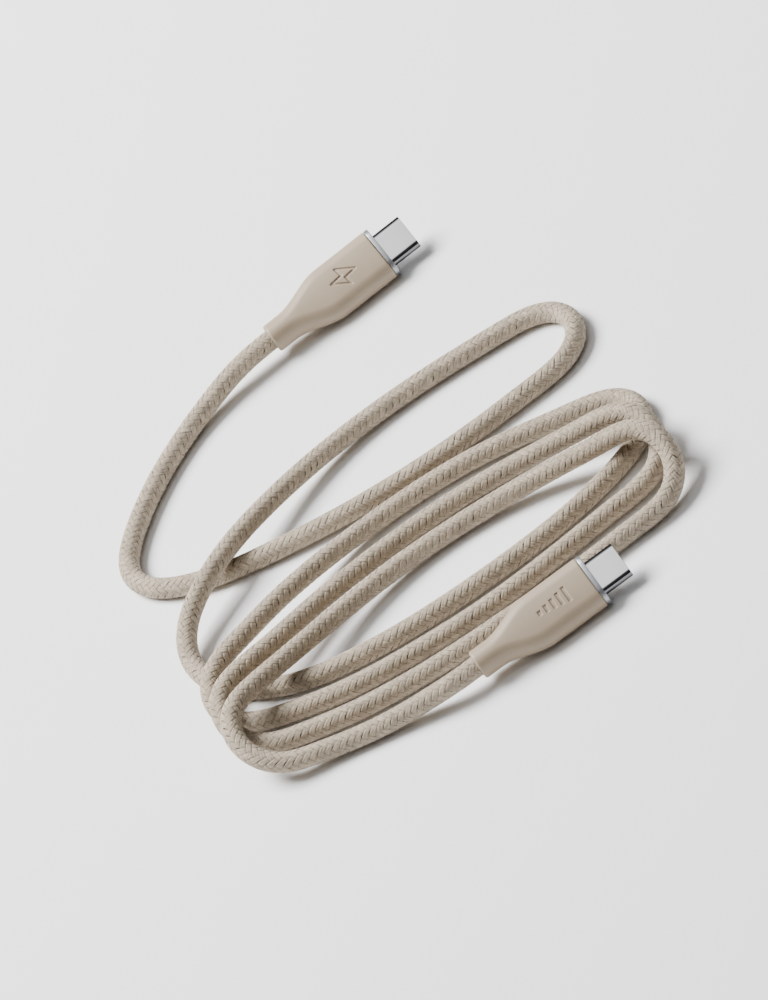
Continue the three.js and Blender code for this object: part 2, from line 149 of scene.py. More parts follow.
# ---------- materials ----------
class Look:
    """A node material in the making: a Principled shader and a few short ways to feed it."""

    def __init__(self, name, colour, roughness, metallic=0.0):
        self.material = bpy.data.materials.new(name)
        self.material.use_nodes = True
        self.tree = self.material.node_tree
        self.shader = self.tree.nodes["Principled BSDF"]
        self.shader.inputs["Base Color"].default_value = (*colour, 1)
        self.shader.inputs["Roughness"].default_value = roughness
        self.shader.inputs["Metallic"].default_value = metallic

    def node(self, kind, **settings):
        made = self.tree.nodes.new(kind)
        for key, value in settings.items():
            setattr(made, key, value)
        return made

    def link(self, source, target):
        self.tree.links.new(source, target)

    def scaled(self, vector, scale):
        mapping = self.node("ShaderNodeMapping")
        mapping.inputs["Scale"].default_value = scale
        self.link(vector, mapping.inputs["Vector"])
        return mapping.outputs["Vector"]

    def coordinates(self, scale=(1, 1, 1)):
        """Object coordinates, in metres, times scale."""
        return self.scaled(self.node("ShaderNodeTexCoord").outputs["Object"], scale)

    def attribute(self, name):
        """A value from 0 to 1 that the mesh carries at each point."""
        return self.node("ShaderNodeAttribute", attribute_name=name).outputs["Fac"]

    def noise(self, vector, scale, detail=3.0, roughness=0.5):
        noise = self.node("ShaderNodeTexNoise")
        noise.inputs["Scale"].default_value = scale
        noise.inputs["Detail"].default_value = detail
        noise.inputs["Roughness"].default_value = roughness
        self.link(vector, noise.inputs["Vector"])
        return noise.outputs["Fac"]

    def ramp(self, value, stops):
        """Colour ramp from [(place, colour)]."""
        ramp = self.node("ShaderNodeValToRGB")
        elements = ramp.color_ramp.elements
        elements[0].position, elements[0].color = stops[0][0], (*stops[0][1], 1)
        elements[1].position, elements[1].color = stops[-1][0], (*stops[-1][1], 1)
        for place, colour in stops[1:-1]:
            elements.new(place).color = (*colour, 1)
        self.link(value, ramp.inputs["Fac"])
        return ramp.outputs["Color"]

    def spread(self, value, low, high):
        """A value from 0 to 1, stretched to low to high."""
        span = self.node("ShaderNodeMapRange")
        span.inputs["To Min"].default_value = low
        span.inputs["To Max"].default_value = high
        self.link(value, span.inputs["Value"])
        return span.outputs["Result"]

    def mixed(self, factor, a, b, blend="MIX"):
        """Blend of two colours; each is an output or a plain colour."""
        mix = self.node("ShaderNodeMix", data_type="RGBA", blend_type=blend)
        for socket, value in ((mix.inputs[0], factor), (mix.inputs[6], a), (mix.inputs[7], b)):
            if isinstance(value, bpy.types.NodeSocket):
                self.link(value, socket)
            elif isinstance(value, tuple):
                socket.default_value = (*value, 1)
            else:
                socket.default_value = value
        return mix.outputs[2]

    def shaded(self, colour, value, stops):
        """A colour times a colour ramp of a value."""
        return self.mixed(1.0, colour, self.ramp(value, stops), "MULTIPLY")

    def bump(self, height, distance, strength=1.0):
        bump = self.node("ShaderNodeBump")
        bump.inputs["Distance"].default_value = distance
        bump.inputs["Strength"].default_value = strength
        self.link(height, bump.inputs["Height"])
        self.link(bump.outputs["Normal"], self.shader.inputs["Normal"])


BEIGE_LIGHT = (0.520, 0.425, 0.315)
BEIGE_MID = (0.355, 0.280, 0.198)
# the darkest beige is painted shade, for the yarn's creases and dips
BEIGE_PAINTED_SHADE = (0.085, 0.060, 0.038)
BOOT_BEIGE = (0.350, 0.272, 0.190)
SHELL_BRIGHT = (0.80, 0.80, 0.81)
# painted dark reflection for the shells' rounded sides, not the steel's own colour
SHELL_PAINTED_REFLECTION_DARK = (0.16, 0.16, 0.17)


def grey_stops(low_place, low, high_place, high):
    """Two grey stops for a colour ramp."""
    return [(low_place, (low,) * 3), (high_place, (high,) * 3)]


def braid_material():
    """Matt yarn: its own beige on each float's crown, painted shade in the creases and dips, fine ends
    along the yarn.
    """
    look = Look("woven_yarn", BEIGE_MID, 0.85)
    # the crown attribute paints shade into the creases and dips
    painted_shade_stops = [(0.0, BEIGE_PAINTED_SHADE), (0.4, BEIGE_MID), (0.85, BEIGE_LIGHT)]
    base = look.ramp(look.attribute("crown"), painted_shade_stops)
    blotch = look.noise(look.coordinates(), 260, 2)
    base = look.shaded(base, blotch, grey_stops(0.3, 0.90, 0.7, 1.0))
    base = look.shaded(base, look.attribute("tone"), grey_stops(0, 0.84, 1, 1.02))
    along_yarn = look.node("ShaderNodeUVMap", uv_map="yarn").outputs["UV"]
    ends = look.noise(look.scaled(along_yarn, (6.5, 1.1, 1)), 1.0, 4, 0.62)
    strands = look.noise(look.scaled(along_yarn, (3.2, 0.6, 1)), 1.0, 2, 0.5)
    base = look.shaded(base, ends, grey_stops(0.36, 0.61, 0.61, 1.05))
    base = look.shaded(base, strands, grey_stops(0.38, 0.79, 0.62, 1.08))
    look.link(base, look.shader.inputs["Base Color"])
    look.link(look.spread(ends, 0.76, 0.95), look.shader.inputs["Roughness"])
    look.shader.inputs["Sheen Weight"].default_value = 0.08
    look.shader.inputs["Sheen Roughness"].default_value = 0.5
    look.bump(ends, 0.00008, 0.7)
    return look.material


def painted_shade_core_material():
    """The core seen through the braid's openings, painted near black as painted shade in the gaps."""
    look = Look("braid_core_painted_shade", (0.035, 0.028, 0.022), 0.95)
    grain = look.noise(look.coordinates(), 2500, 2)
    # near black: painted shade for the gaps between the floats
    look.link(look.ramp(grain, [(0.3, (0.02, 0.016, 0.012)), (0.7, (0.05, 0.04, 0.03))]),
              look.shader.inputs["Base Color"])
    look.bump(grain, 0.00003, 0.5)
    return look.material


def boot_material():
    """Soft-touch plastic: even beige with a fine matt grain."""
    look = Look("soft_touch_plastic", BOOT_BEIGE, 0.5)
    place = look.coordinates()
    fine = look.noise(place, 9000, 2)
    broad = look.noise(place, 180, 2)
    deep = tuple(0.965 * c for c in BOOT_BEIGE)
    light = tuple(1.03 * c for c in BOOT_BEIGE)
    look.link(look.ramp(broad, [(0.3, deep), (0.7, light)]), look.shader.inputs["Base Color"])
    look.link(look.spread(fine, 0.44, 0.58), look.shader.inputs["Roughness"])
    look.shader.inputs["Sheen Weight"].default_value = 0.12
    look.shader.inputs["Sheen Roughness"].default_value = 0.4
    look.bump(fine, 0.000012, 0.35)
    return look.material


def metal_material(name, colour, roughness, grain, stretch=(1, 1, 1)):
    """Metal with a slight grain in its gloss."""
    look = Look(name, colour, roughness, 1.0)
    streak = look.noise(look.coordinates(stretch), grain, 3)
    look.link(look.spread(streak, roughness * 0.8, roughness * 1.25), look.shader.inputs["Roughness"])
    tint = [(0.25, tuple(0.95 * c for c in colour)), (0.75, colour)]
    look.link(look.ramp(streak, tint), look.shader.inputs["Base Color"])
    look.bump(streak, 0.000003, 0.2)
    return look.material


def shell_material():
    """Bright drawn steel, with a painted dark reflection round the narrow sides."""
    look = Look("bright_steel", SHELL_BRIGHT, 0.17, 1.0)
    streak = look.noise(look.coordinates((1, 8, 8)), 900, 3)
    # the rounded sides are painted dark: a painted reflection, not the steel's own colour
    tone = look.mixed(look.attribute("side"), SHELL_BRIGHT, SHELL_PAINTED_REFLECTION_DARK)
    tone = look.shaded(tone, streak, grey_stops(0.25, 0.94, 0.75, 1.0))
    look.link(tone, look.shader.inputs["Base Color"])
    look.link(look.spread(streak, 0.13, 0.21), look.shader.inputs["Roughness"])
    look.bump(streak, 0.000003, 0.2)
    return look.material


def plastic_material(name, colour, roughness):
    """Plain moulded plastic with a faint grain."""
    look = Look(name, colour, roughness)
    grain = look.noise(look.coordinates(), 5000, 2)
    light = tuple(min(1.12 * c + 0.004, 1) for c in colour)
    look.link(look.ramp(grain, [(0.3, colour), (0.7, light)]), look.shader.inputs["Base Color"])
    look.link(look.spread(grain, roughness * 0.9, roughness * 1.1), look.shader.inputs["Roughness"])
    look.bump(grain, 0.00001, 0.3)
    return look.material


# ---------- cord ----------
FLOOR_HEIGHT = CORD_DIAMETER / 2
WIRE_NODES = ["wire_power", "wire_ground", "wire_sense", "wire_data_plus", "wire_data_minus"]
YARNS = 8  # carriers each way round the braid
LAY = 1.7  # millimetres along the cord from one yarn to the next
YARN_TOP = 2.2
CORE_RADIUS = 1.86
JACKET_RADIUS = 1.75
WIRES = [(0.68, 0.0, 0.31), (-0.68, 0.0, 0.31), (0.0, 0.0, 0.22), (0.0, 0.75, 0.22), (0.0, -0.75, 0.22)]
RING_STEP = 0.25

# a float's mesh and shape: widths in cells of the weave, depths in millimetres
STEPS_ACROSS = np.array([-1, -0.88, -0.67, -0.5, -0.33, 0, 0.33, 0.5, 0.67, 0.88, 1])
STEPS_ALONG = np.array([-0.07, 0.02, 0.12, 0.3, 0.5, 0.7, 0.88, 0.98, 1.07])
FLOAT_HALF_WIDTH = 0.505
TIP_TAPER = 0.05
SLIT_LEAST = 0.03
SLIT_SPREAD = 0.19
SLIT_SHARE = {"a": 1.0, "b": 0.4}  # slits show more along one way of the weave
SINK = 0.02
EDGE_ROUNDING = 0.02
CREASE_DEPTH = 0.035
DIP_DEPTH = 0.16
RIPPLE = 0.016  # height of the single ends in a yarn
LIFT_SPREAD = 0.03
# painted shade: how much darker the yarn is painted in the creases and at the dips
CREASE_SHADE = 0.3
DIP_SHADE = 0.6


def bend(x, y, radius, stops):
    """Points of a round bend: centre, radius and (angle, height) pairs. The points stand a little
    outside the circle, because the spline runs inside its points."""
    points = []
    for i, (angle, height) in enumerate(stops):
        before = stops[max(i - 1, 0)][0]
        after = stops[min(i + 1, len(stops) - 1)][0]
        spans = 2 if 0 < i < len(stops) - 1 else 1
        step = math.radians(abs(after - before) / spans)
        reach = radius * 3 / (2 + math.cos(step))
        turn = math.radians(angle)
        points.append((x + reach * math.cos(turn), y + reach * math.sin(turn), height))
    return points


def inside_plug(letter, distances):
    """Points on a plug's axis, at these distances ahead of the boot's tail."""
    (x, y), angle = PLUGS[letter]["tail"], math.radians(PLUGS[letter]["heading"])
    return [(x + d * math.cos(angle), y + d * math.sin(angle), PLUG_HEIGHT) for d in distances]


def cord_points():
    """The cord's route, in millimetres, as in the CAD model."""
    floor = FLOOR_HEIGHT
    return [
        *inside_plug("a", [18, CORD_END, 6, 0, -6]),
        (-15, 58.2, 3.9), (-22, 56.5, 2.8), (-29, 53.7, floor), (-36.5, 49, floor),
        (-43.5, 43.3, floor), (-49.5, 37, floor), (-53.7, 31, floor), (-55, 25, floor),
        (-53.2, 19, floor), (-48.8, 14, floor), (-43, 10, floor), (-35.5, 6.3, floor),
        (-22.5, 2, floor), (-10, -1.4, floor), (4.5, -3.8, floor), (19.5, -4.9, floor),
        (31, -4.6, floor),
        *bend(38.7, 5.7, 10.1, [(-75, floor), (-38, floor), (0, floor), (38, floor), (74, floor)]),
        (33, 17.4, floor), (17, 20, floor), (0.5, 20.5, 2.5), (-14.5, 17.5, 4), (-27, 12.3, 6),
        (-36, 7.8, 7), (-43, 3.7, 6.9), (-49.2, -0.3, 5.8), (-53.4, -4.6, 4.2), (-55.3, -10, 2.8),
        (-55, -15.8, floor), (-53, -21.7, floor), (-49.6, -27.4, floor), (-45, -32.8, floor),
        (-38.8, -37.5, floor), (-29, -41.5, floor), (-13, -45.3, floor), (7, -46.8, floor),
        (23, -46.6, floor), (33, -44.8, floor),
        *bend(38.2, -31.5, 10.5, [(-70, floor), (-35, floor), (0, floor), (35, floor), (68, floor)]),
        (33, -18, floor), (22, -13.3, floor), (8, -9.8, floor), (-7, -8.6, floor),
        (-21.5, -10.7, 3.9), (-33.5, -14.7, 5.9), (-42.5, -18.7, 6.9),
        *bend(-46.4, -30.4, 9.9, [(115, 7.1), (147, 6.4), (179, 4.8), (211, 3.2), (243, 2.4)]),
        (-44.5, -43, floor), (-36.5, -47, floor), (-26, -50.5, floor), (-9, -53.6, floor),
        (3, -54.8, floor), (19, -54.6, floor), (31, -53.5, floor),
        *bend(37.8, -43.3, 10.4, [(-72, 2.4), (-38, 3.2), (-5, 5), (28, 7.1), (60, 7.3)]),
        (37.5, -30.3, 5.4), (29, -25.6, 3.6), (17, -21, 2.4), (2, -18.5, floor),
        (-15, -19.6, 3.3), (-29.5, -23.2, 5.4), (-40.5, -27.6, 7.2),
        *bend(-46.2, -39.7, 10.5, [(112, 8.6), (144, 8.7), (176, 7.1), (208, 4.8), (241, 3.1)]),
        (-44, -52, 2.4), (-34, -56, floor), (-22, -59, floor), (-9, -61, floor), (5, -62, floor),
        (20.5, -63, floor), (32, -62.6, floor),
        *bend(37.6, -52.7, 10.5, [(-72, 2.5), (-39, 3.8), (-6, 6.3), (26, 8.9), (58, 9.1)]),
        (37.5, -39.8, 7), (29.5, -34.8, 4.9), (18.5, -29.8, 3), (3.5, -26.3, floor),
        (-12.5, -26.2, 3), (-28.5, -30.3, 5.2), (-40.5, -35.3, 8.1),
        *bend(-46.4, -48.8, 10.5, [(112, 10.1), (144, 10.6), (176, 9), (208, 6.4), (240, 4)]),
        (-44.5, -60.3, 2.8), (-35.5, -63.8, floor), (-26.5, -67, 2.8), (-20, -69.3, 3.9),
        *inside_plug("b", [-6, 0, 6, CORD_END, 18]),
    ]


def spline_points(points, per_span):
    """Points of the uniform cubic B-spline of these points."""
    points = np.asarray(points, float)
    spans = len(points) - 3
    place = np.linspace(0, spans, spans * per_span + 1)
    span = np.minimum(place.astype(int), spans - 1)
    f = (place - span)[:, None]
    weights = [(1 - f) ** 3, 3 * f**3 - 6 * f**2 + 4, -3 * f**3 + 3 * f**2 + 3 * f + 1, f**3]
    return sum(weight * points[span + i] for i, weight in enumerate(weights)) / 6


class CordLine:
    """The cord's centreline with an even spacing, and axes across it that never twist."""

    def __init__(self):
        dense = spline_points(cord_points(), 60) + ORIGIN_SHIFT
        run = np.r_[0, np.cumsum(np.linalg.norm(np.diff(dense, axis=0), axis=1))]
        self.length = run[-1]
        count = int(round(self.length / RING_STEP)) + 1
        self.run = np.linspace(0, self.length, count)
        self.points = np.stack([np.interp(self.run, run, dense[:, i]) for i in range(3)], axis=1)
        tangents = np.gradient(self.points, axis=0)
        tangents /= np.linalg.norm(tangents, axis=1)[:, None]
        side = np.cross(tangents[0], (0, 0, 1))
        sides = []
        for tangent in tangents:
            side = side - tangent * np.dot(side, tangent)
            side = side / np.linalg.norm(side)
            sides.append(side)
        self.side = np.array(sides)
        self.rise = np.cross(tangents, self.side)

    def at(self, run, angle, radius):
        """Points in metres at a distance along the cord, an angle round it and a radius."""
        run = np.clip(run, 0, self.length)

        def read(values):
            return np.stack([np.interp(run, self.run, values[:, i]) for i in range(3)], axis=-1)

        across = read(self.side) * np.cos(angle)[..., None] + read(self.rise) * np.sin(angle)[..., None]
        return (read(self.points) + across * radius[..., None]) * MM


def float_starts(length, over):
    """Starting cells of the floats that lie on top of the braid. A cell is one crossing: yarn
    number a one way and b the other. over is "a" or "b"."""
    bands = YARNS // 2
    count = int(length / LAY) + 4
    band, number = np.meshgrid(np.arange(bands), np.arange(-2 * bands - 2, count), indexing="ij")
    band, number = band.ravel(), number.ravel()
    if over == "a":
        a_start, b_start = number, number - 1 + 4 * band
    else:
        a_start, b_start = number + 2 + 4 * band, number
    middle = (a_start + b_start + 1.5) * LAY / 2
    kept = (middle > 0.5 * LAY) & (middle < length - 0.5 * LAY)
    return a_start[kept], b_start[kept]


def scatter(a, b, seed):
    """A number from 0 to 1 for each float, scattered but always the same."""
    return np.modf(np.abs(np.sin(a * 12.9898 + b * 78.233 + seed) * 43758.5453))[0]


def float_surface(a_start, b_start, over):
    """Where a float's points lie on the braid (cells a and b, radius), and a value from 0 to 1
    that sets the painted shade in the creases and dips, 1 on the crown. A float is two crossings
    long. It is nearly flat, falls away in a narrow crease along its edges, and dips under its
    neighbours at both tips. Some floats leave a short slit along one edge."""
    w = STEPS_ACROSS[None, None, :]
    t = STEPS_ALONG[None, :, None]
    a0, b0 = a_start[:, None, None], b_start[:, None, None]
    slit = (SLIT_LEAST + SLIT_SPREAD * scatter(a0, b0, 1.0) ** 1.6) * SLIT_SHARE[over]
    opening = slit * np.sin(math.pi * np.clip((t - 0.45) / 0.55, 0, 1)) * (w > 0)
    taper = TIP_TAPER * smoothstep((np.abs(2 * t - 1) - 0.8) / 0.3)
    half = FLOAT_HALF_WIDTH - opening - taper
    across = (a0 if over == "a" else b0) + 0.5 + half * w
    along = (b0 if over == "a" else a0) + 2 * t + 0 * w
    a, b = (across, along) if over == "a" else (along, across)
    dip = smoothstep((np.abs(2 * t - 1) - 0.72) / 0.42)
    crease = smoothstep((np.abs(w) - 0.72) / 0.28)
    lift = LIFT_SPREAD * (scatter(a0, b0, 5.0) - 0.5)
    ripple = RIPPLE * np.cos(6 * math.pi * w) * (1 - dip)
    drop = EDGE_ROUNDING * w**2 + CREASE_DEPTH * crease + DIP_DEPTH * dip + ripple
    radius = YARN_TOP - SINK - drop + lift + 0 * a
    # crown: painted shade, darker in the creases and darkest at the dips under the neighbours
    crown = np.clip(1 - CREASE_SHADE * crease**2 - DIP_SHADE * dip, 0, 1) + 0 * a
    return a, b, radius, crown, along, w


def braid_piece(line, material):
    """The woven sleeve, float by float."""
    verts, painted_shade_levels, uvs, tones = [], [], [], []
    for over in ("a", "b"):
        a_start, b_start = float_starts(line.length, over)
        a, b, radius, crown, along, w = float_surface(a_start, b_start, over)
        verts.append(line.at((a + b) * LAY / 2, (a - b) * math.pi / YARNS, radius).reshape(-1, 3))
        painted_shade_levels.append(crown.ravel())
        tones.append((scatter(a_start, b_start, 3.0)[:, None, None] + 0 * a).ravel())
        number = (a_start * 7 + b_start * 3)[:, None, None] % 53
        uv = np.stack([(w + 1) / 2 + number + 0 * a, along + number + 0 * w], axis=-1)
        uvs.append(uv.reshape(-1, 2))
    verts, painted_shade_levels, tones = np.concatenate(verts), np.concatenate(painted_shade_levels), np.concatenate(tones)
    rows, columns = a.shape[1:]
    patch = grid_faces(rows, columns, wrap=False)
    starts = np.arange(0, len(verts), rows * columns)
    faces = patch[None] + starts[:, None, None]
    over_a = starts < len(verts) // 2
    faces[over_a] = faces[over_a][..., ::-1]
    piece = mesh_from_arrays("braid", verts, faces.reshape(-1, 4), material)
    uvs = np.concatenate(uvs)
    layer = piece.data.uv_layers.new(name="yarn")
    loops = np.empty(len(piece.data.loops), dtype=np.int32)
    piece.data.loops.foreach_get("vertex_index", loops)
    layer.data.foreach_set("uv", uvs[loops].astype(np.float32).ravel())
    # crown carries the painted shade of the creases and dips
    for name, values in (("crown", painted_shade_levels), ("tone", tones)):
        attribute = piece.data.attributes.new(name, "FLOAT", "POINT")
        attribute.data.foreach_set("value", values.astype(np.float32))
    return piece


def mesh_from_arrays(name, verts, quads, material):
    """A large mesh of quads, filled in one go."""
    mesh = bpy.data.meshes.new(name)
    mesh.vertices.add(len(verts))
    mesh.vertices.foreach_set("co", np.asarray(verts, np.float32).ravel())
    mesh.loops.add(quads.size)
    mesh.loops.foreach_set("vertex_index", quads.astype(np.int32).ravel())
    mesh.polygons.add(len(quads))
    mesh.polygons.foreach_set("loop_start", np.arange(0, quads.size, 4, dtype=np.int32))
    mesh.polygons.foreach_set("use_smooth", np.ones(len(quads), dtype=bool))
    mesh.update(calc_edges=True)
    mesh.materials.append(material)
    piece = bpy.data.objects.new(name, mesh)
    bpy.context.collection.objects.link(piece)
    return piece


def tube_piece(name, line, tubes, step, sides, material):
    """Closed tubes along the cord; each is (offset across, offset up, radius)."""
    run = np.append(np.arange(0, line.length, step), line.length)
    verts, faces = [], []
    turn = np.arange(sides) * 2 * math.pi / sides
    for across, up, tube_radius in tubes:
        y = across + tube_radius * np.cos(turn)
        z = up + tube_radius * np.sin(turn)
        grid_run, grid_angle = np.meshgrid(run, np.arctan2(z, y), indexing="ij")
        radius = np.hypot(y, z)[None] + 0 * grid_run
        first = sum(len(part) for part in verts)
        verts.append(line.at(grid_run, grid_angle, radius).reshape(-1, 3))
        count = len(verts[-1])
        faces += (grid_faces(len(run), sides, wrap=True)[:, ::-1] + first).tolist()
        faces.append([first + i for i in range(sides)])
        faces.append([first + count - 1 - i for i in range(sides)])
    return new_object(name, np.concatenate(verts), faces, material)


def make_cord(looks):
    line = CordLine()
    braid = braid_piece(line, looks["braid"])
    # the core is painted near black, as painted shade in the braid's openings
    core = tube_piece("braid_core_painted_shade", line, [(0, 0, CORE_RADIUS)], 1.0, 20, looks["core"])
    jacket = tube_piece("jacket", line, [(0, 0, JACKET_RADIUS)], 1.5, 12, looks["jacket"])
    wires = tube_piece("wires", line, WIRES, 2.0, 6, looks["copper"])
    for piece, slot in ((braid, "braid"), (core, "braid"), (jacket, "jacket"), (wires, "wires")):
        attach(piece, "root")
    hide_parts("braid_sleeve")
    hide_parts("inner_jacket")
    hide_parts(*WIRE_NODES)
    core.parent = braid
    return line, braid, [jacket, wires]


# ---------- plug pieces, in the plug's own frame, in millimetres ----------
BOOT_CROWN = 0.2  # how much thinner the boot is at its sides than along its middle


def crowned(y, z, half_width=BOOT_WIDTH / 2):
    return z * (1 - BOOT_CROWN * (y / half_width) ** 2)


def boot_half_sizes(x):
    """Half width, half thickness and corner radius of the boot at distances from its tail."""
    flare = smoothstep((x - TAIL_LENGTH) / (TAPER_END - TAIL_LENGTH))
    return (TAIL_DIAMETER / 2 + 0.05 + (BOOT_WIDTH / 2 - TAIL_DIAMETER / 2 - 0.05) * flare,
            TAIL_DIAMETER / 2 + (BOOT_THICKNESS / 2 - TAIL_DIAMETER / 2) * flare,
            TAIL_DIAMETER / 2 - 0.1 + (BOOT_CORNER - TAIL_DIAMETER / 2 + 0.1) * flare)


def boot_outline():
    """Places round the boot's section, as (corner angle, flat shift): the angle turns only round
    the corners, and the shift runs from one corner's centre to the next along the flats."""
    flat, side, corner = 84, 4, 14
    places = []
    for quarter in range(4):
        for i in range(corner):
            places.append((quarter, i / corner, 0.0))
        count = flat if quarter in (0, 2) else side
        for i in range(count):
            places.append((quarter, 1.0, i / count))
    return places


def boot_ring(x, inset, places):
    """One ring of the boot's skin at distance x from the tail."""
    half_width, half_height, corner = boot_half_sizes(np.float64(x))
    core_y, core_z = half_width - corner, half_height - corner
    centres = [(core_y, core_z), (-core_y, core_z), (-core_y, -core_z), (core_y, -core_z)]
    ring = []
    for quarter, share, shift in places:
        (y0, z0), (y1, z1) = centres[quarter], centres[(quarter + 1) % 4]
        turn = (quarter + share) * math.pi / 2
        y = y0 + (y1 - y0) * shift + (corner - inset) * math.cos(turn)
        z = z0 + (z1 - z0) * shift + (corner - inset) * math.sin(turn)
        ring.append((x, y, crowned(y, z, half_width)))
    return ring


def distance_inside(points, outline):
    """Signed distance of points in a plane to a closed outline, positive inside it."""
    outline = np.asarray(outline, float)
    starts, ends = outline, np.roll(outline, -1, axis=0)
    edge = ends - starts
    to_point = points[:, None, :] - starts[None]
    share = np.clip((to_point * edge).sum(-1) / (edge**2).sum(-1), 0, 1)
    distance = np.linalg.norm(to_point - share[..., None] * edge, axis=-1).min(axis=1)
    above = (starts[None, :, 1] > points[:, None, 1]) != (ends[None, :, 1] > points[:, None, 1])
    slope = np.where(edge[:, 1] == 0, 1e-12, edge[:, 1])
    crossing = starts[:, 0] + (points[:, None, 1] - starts[:, 1]) * edge[:, 0] / slope
    inside = (above & (points[:, None, 0] < crossing)).sum(axis=1) % 2 == 1
    return np.where(inside, distance, -distance)


BOLT_CENTRE = 19.6
BARS = 5
BARS_START = 16.0
BARS_PITCH = 1.65
BAR_WIDTH = 0.75
BAR_HALF_LENGTH = 0.55
BAR_GROWTH = 0.3


def bolt_mark():
    """A plain lightning bolt, across the boot."""
    shape = [(-3.0, 0.15), (0.55, -2.35), (0.25, -0.42), (3.0, -0.15), (-0.55, 2.35), (-0.25, 0.42)]
    return [[(BOLT_CENTRE + x, y) for x, y in shape]]


def bars_mark():
    """Five plain bars, each longer than the last."""
    bars = []
    for i in range(BARS):
        back = BARS_START + BARS_PITCH * i
        front = back + BAR_WIDTH
        half = BAR_HALF_LENGTH + BAR_GROWTH * i
        bars.append([(back, -half), (front, -half), (front, half), (back, half)])
    return bars


MARKS = {"a": bolt_mark, "b": bars_mark}
OUTLINED = {"a": True, "b": False}  # an outlined mark is a groove along its edge, not a hollow
MARK_DEPTH = 0.22
MARK_EDGE = 0.15
MARK_STROKE = 0.5
MARKED_SIDE = 0.6  # marks are pressed only above this share of the boot's half thickness

# the boot's skin
LIP_ROUND = 0.55
FRONT_ROUND = 0.35
SKIN_STEP = 0.11
BORE_CLEARANCE = 0.12
BORE_RINGS = (6.0, 0.35, 0.0)  # distances from the tail, from the bore's deep end out
BORE_FLARE = 1.06
FRONT_RIM = 1.2  # width of the front face, from the boot's edge to the opening round the shell


def boot_stations():
    """Distances from the tail and how far the skin is drawn in there, with a rounded lip at the
    tail and a small round at the front."""
    lip, front = LIP_ROUND, FRONT_ROUND
    tail = [(lip * (1 - math.cos(a)), lip * (1 - math.sin(a)))
            for a in np.linspace(0, math.pi / 2, 8)]
    length = np.arange(lip, BOOT_LENGTH - front, SKIN_STEP)[1:]
    front_round = [(BOOT_LENGTH - front + front * math.sin(a), front * (1 - math.cos(a)))
                   for a in np.linspace(0, math.pi / 2, 7)]
    return tail + [(x, 0.0) for x in length] + front_round


def boot_piece(letter, material):
    """The moulded boot's skin: its debossed mark, the lip and bore at its tail, and a front face
    that is open round the shell."""
    places = boot_outline()
    count = len(places)
    stations = boot_stations()
    rings = np.array([boot_ring(x, inset, places) for x, inset in stations])
    skin = rings.reshape(-1, 3)
    top = skin[:, 2] > MARKED_SIDE * BOOT_THICKNESS / 2
    depth = np.zeros(len(skin))
    for outline in MARKS[letter]():
        inside = distance_inside(skin[top][:, :2], outline)
        if OUTLINED[letter]:
            inside = MARK_STROKE / 2 - np.abs(inside)
        depth[top] = np.maximum(depth[top], smoothstep(inside / MARK_EDGE + 0.5))
    skin[:, 2] -= MARK_DEPTH * depth
    bore = CORD_DIAMETER / 2 + BORE_CLEARANCE
    angle = np.arctan2(rings[0][:, 2], rings[0][:, 1])
    inner = [np.stack([np.full(count, x), bore * np.cos(angle), bore * np.sin(angle)], axis=1)
             for x in BORE_RINGS]
    inner[-1][:, 1:] *= BORE_FLARE
    front = boot_ring(BOOT_LENGTH, FRONT_RIM, places)
    verts = np.concatenate([np.concatenate(inner), skin, front])
    faces = grid_faces(len(verts) // count, count, wrap=True).tolist()
    return new_object(f"boot_{letter}", in_row_frame(verts, letter), faces, material)


def rounded_outline(width, height, corner, corner_points, flat_points=8):
    """Outline of a rounded rectangle in the plug's Y and Z."""
    y, z = width / 2 - corner, height / 2 - corner
    centres = [(y, z), (-y, z), (-y, -z), (y, -z)]
    points = []
    for quarter, (cy, cz) in enumerate(centres):
        for i in range(corner_points + 1):
            turn = (quarter + i / corner_points) * math.pi / 2
            points.append((cy + corner * math.cos(turn), cz + corner * math.sin(turn)))
        next_y, next_z = centres[(quarter + 1) % 4]
        end_y, end_z = points[-1]
        for i in range(1, flat_points):
            share = i / flat_points
            points.append((end_y + (next_y - cy) * share, end_z + (next_z - cz) * share))
    return np.array(points)


def ring_piece(name, letter, outer, hole, back, front, soften, material, crown=False):
    """A plate or tube with a hole right through, its four rims softened. outer and hole are
    (width, height, corner) sizes. With crown, the outside follows the boot's."""
    corner_points = 12
    loops = []
    arc = np.linspace(0, math.pi / 2, 5)

    def add(size, grow, x):
        width, height, corner = size
        outline = rounded_outline(width + 2 * grow, height + 2 * grow, corner + grow, corner_points)
        if crown and size is outer:
            outline[:, 1] = crowned(outline[:, 0], outline[:, 1])
        loops.append(np.column_stack([np.full(len(outline), x), outline]))

    for a in arc:
        add(outer, soften * (math.sin(a) - 1), back + soften * (1 - math.cos(a)))
    for a in arc:
        add(outer, soften * (math.cos(a) - 1), front - soften * (1 - math.sin(a)))
    for a in arc:
        add(hole, soften * (1 - math.sin(a)), front - soften * (1 - math.cos(a)))
    for a in arc:
        add(hole, soften * (1 - math.cos(a)), back + soften * (1 - math.sin(a)))
    count = len(loops[0])
    verts = np.concatenate(loops)
    faces = grid_faces(len(loops) + 1, count, wrap=True) % len(verts)
    return new_object(f"{name}_{letter}", in_row_frame(verts, letter), faces, material)


def paint_dark_reflection_on_sides(shell, letter):
    """Marks how far each point of a shell is round its sides, from 0 on the flats to 1, for the painted
    dark reflection there.
    """
    to_plug = plug_matrix(letter).inverted()
    flat = SHELL_WIDTH / 2 - SHELL_HEIGHT / 2
    width = [abs((to_plug @ vertex.co).y) for vertex in shell.data.vertices]
    # the side value sets where the shell material paints its dark reflection
    side = smoothstep((np.array(width) - flat) / PAINTED_REFLECTION_FADE)
    attribute = shell.data.attributes.new("side", "FLOAT", "POINT")
    attribute.data.foreach_set("value", side.astype(np.float32))


